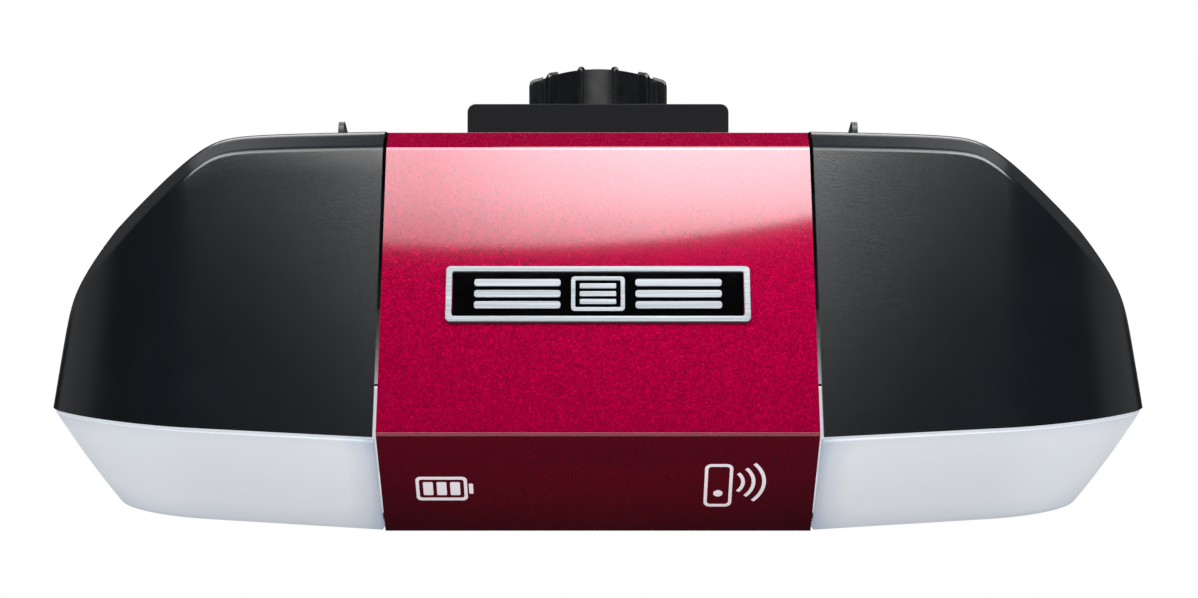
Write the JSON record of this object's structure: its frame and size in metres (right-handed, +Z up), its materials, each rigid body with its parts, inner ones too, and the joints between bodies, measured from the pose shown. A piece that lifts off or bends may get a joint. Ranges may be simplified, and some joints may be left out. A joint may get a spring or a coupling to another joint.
{
  "type": "garage door opener",
  "caption": "Ceiling-hung belt-drive garage door opener with a wide faceted body, hinged light lenses, backup battery and ribbed sprocket cover.",
  "frame": {"origin": "centre of the bounding box's bottom face, in the plane of the bottom plate", "axes": "+X along the unit's long side, -Y towards the badge panel, +Z up towards the rail and the ceiling"},
  "size_m": [0.529, 0.2865, 0.209],
  "materials": {
    "red_metal": "metallic flake under clear coat",
    "black_plastic": "fine grain",
    "satin_black": "satin powder coat",
    "lens": "frosted translucent",
    "silver": "brushed",
    "gloss_black": "polished",
    "galvanised": "galvanised",
    "zinc": "zinc plated",
    "nylon": "moulded",
    "bronze": "sintered",
    "copper": "enamelled winding",
    "board": "solder mask",
    "glass": "frosted",
    "yellow": "moulded",
    "grey": "moulded",
    "red": "moulded",
    "white": "moulded"
  },
  "bodies": {
    "chassis": {"deck_plate": "galvanised", "bottom_plate": "satin_black", "left_side_wall": "galvanised", "right_side_wall": "galvanised", "front_panel": "red_metal", "rear_panel": "satin_black", "left_shroud": "black_plastic", "right_shroud": "black_plastic", "left_hinge_pin": "galvanised", "right_hinge_pin": "galvanised", "badge_frame": "silver", "badge_inset": "gloss_black", "hanger_tab_front_left": "satin_black", "hanger_tab_front_right": "satin_black", "hanger_tab_rear_left": "satin_black", "hanger_tab_rear_right": "satin_black", "sprocket_base": "black_plastic", "sprocket_cover": "black_plastic", "rail_bolt_left": "zinc", "rail_bolt_right": "zinc", "upper_bushing": "bronze", "lower_bushing": "bronze", "gear_case": "zinc", "gear_case_cover": "zinc", "motor_can": "galvanised", "motor_end_bell": "grey", "transformer_core": "galvanised", "transformer_coil": "copper", "battery": "grey", "battery_cover": "satin_black", "cover_screw": "zinc", "logic_board": "board", "left_lamp_socket": "white", "right_lamp_socket": "white", "left_bulb": "glass", "right_bulb": "glass", "cord_gland": "black_plastic", "control_bezel": "black_plastic", "terminal_block": "black_plastic", "panel_screw_1": "satin_black", "panel_screw_2": "satin_black", "panel_screw_3": "satin_black", "panel_screw_4": "satin_black"},
    "left_lens": {"left_lens": "lens"},
    "right_lens": {"right_lens": "lens"},
    "drive": {"drive_sprocket": "galvanised", "output_shaft": "galvanised", "drive_gear": "nylon", "encoder_pinion": "nylon"},
    "rotor": {"worm_shaft": "galvanised", "motor_armature": "copper"},
    "encoder_wheel": {"encoder_gear": "nylon"},
    "up_button": {"up_button": "grey"},
    "adjust_button": {"adjust_button": "grey"},
    "down_button": {"down_button": "grey"},
    "learn_button": {"learn_button": "yellow"},
    "red_terminal_tab": {"red_terminal_tab": "red"},
    "white_terminal_tab": {"white_terminal_tab": "white"},
    "common_terminal_tab": {"common_terminal_tab": "white"},
    "grey_terminal_tab": {"grey_terminal_tab": "grey"}
  },
  "joints": [
    {"name": "left_lens_hinge", "type": "hinge", "parent": "chassis", "child": "left_lens", "pos_m": [-0.0959, 0, 0.0025], "axis": [0, -1, 0], "range_deg": [0, 90]},
    {"name": "right_lens_hinge", "type": "hinge", "parent": "chassis", "child": "right_lens", "pos_m": [0.0959, 0, 0.0025], "axis": [0, 1, 0], "range_deg": [0, 90]},
    {"name": "sprocket_spin", "type": "hinge", "parent": "chassis", "child": "drive", "pos_m": [0, 0, 0.119], "axis": [0, 0, 1], "continuous": true},
    {"name": "worm_spin", "type": "hinge", "parent": "chassis", "child": "rotor", "pos_m": [0.0366, 0, 0.119], "axis": [0, 1, 0], "continuous": true},
    {"name": "encoder_spin", "type": "hinge", "parent": "chassis", "child": "encoder_wheel", "pos_m": [-0.02, 0, 0.141], "axis": [0, 0, 1], "continuous": true},
    {"name": "up_button_press", "type": "slide", "parent": "chassis", "child": "up_button", "axis": [0, -0.9391, -0.3437], "range_m": [0, 0.0015], "stiffness_N_per_m": 600, "springref_m": -0.0005},
    {"name": "adjust_button_press", "type": "slide", "parent": "chassis", "child": "adjust_button", "axis": [0, -0.9391, -0.3437], "range_m": [0, 0.0015], "stiffness_N_per_m": 600, "springref_m": -0.0005},
    {"name": "down_button_press", "type": "slide", "parent": "chassis", "child": "down_button", "axis": [0, -0.9391, -0.3437], "range_m": [0, 0.0015], "stiffness_N_per_m": 600, "springref_m": -0.0005},
    {"name": "learn_button_press", "type": "slide", "parent": "chassis", "child": "learn_button", "axis": [0, -0.9391, -0.3437], "range_m": [0, 0.0015], "stiffness_N_per_m": 600, "springref_m": -0.0005},
    {"name": "red_terminal_tab_press", "type": "slide", "parent": "chassis", "child": "red_terminal_tab", "axis": [0, -0.9391, -0.3437], "range_m": [0, 0.002], "stiffness_N_per_m": 700, "springref_m": -0.0005},
    {"name": "white_terminal_tab_press", "type": "slide", "parent": "chassis", "child": "white_terminal_tab", "axis": [0, -0.9391, -0.3437], "range_m": [0, 0.002], "stiffness_N_per_m": 700, "springref_m": -0.0005},
    {"name": "common_terminal_tab_press", "type": "slide", "parent": "chassis", "child": "common_terminal_tab", "axis": [0, -0.9391, -0.3437], "range_m": [0, 0.002], "stiffness_N_per_m": 700, "springref_m": -0.0005},
    {"name": "grey_terminal_tab_press", "type": "slide", "parent": "chassis", "child": "grey_terminal_tab", "axis": [0, -0.9391, -0.3437], "range_m": [0, 0.002], "stiffness_N_per_m": 700, "springref_m": -0.0005}
  ],
  "couplings": [
    {"joint": "worm_spin", "follows": "sprocket_spin", "ratio": -36},
    {"joint": "encoder_spin", "follows": "sprocket_spin", "ratio": -0.66667}
  ]
}
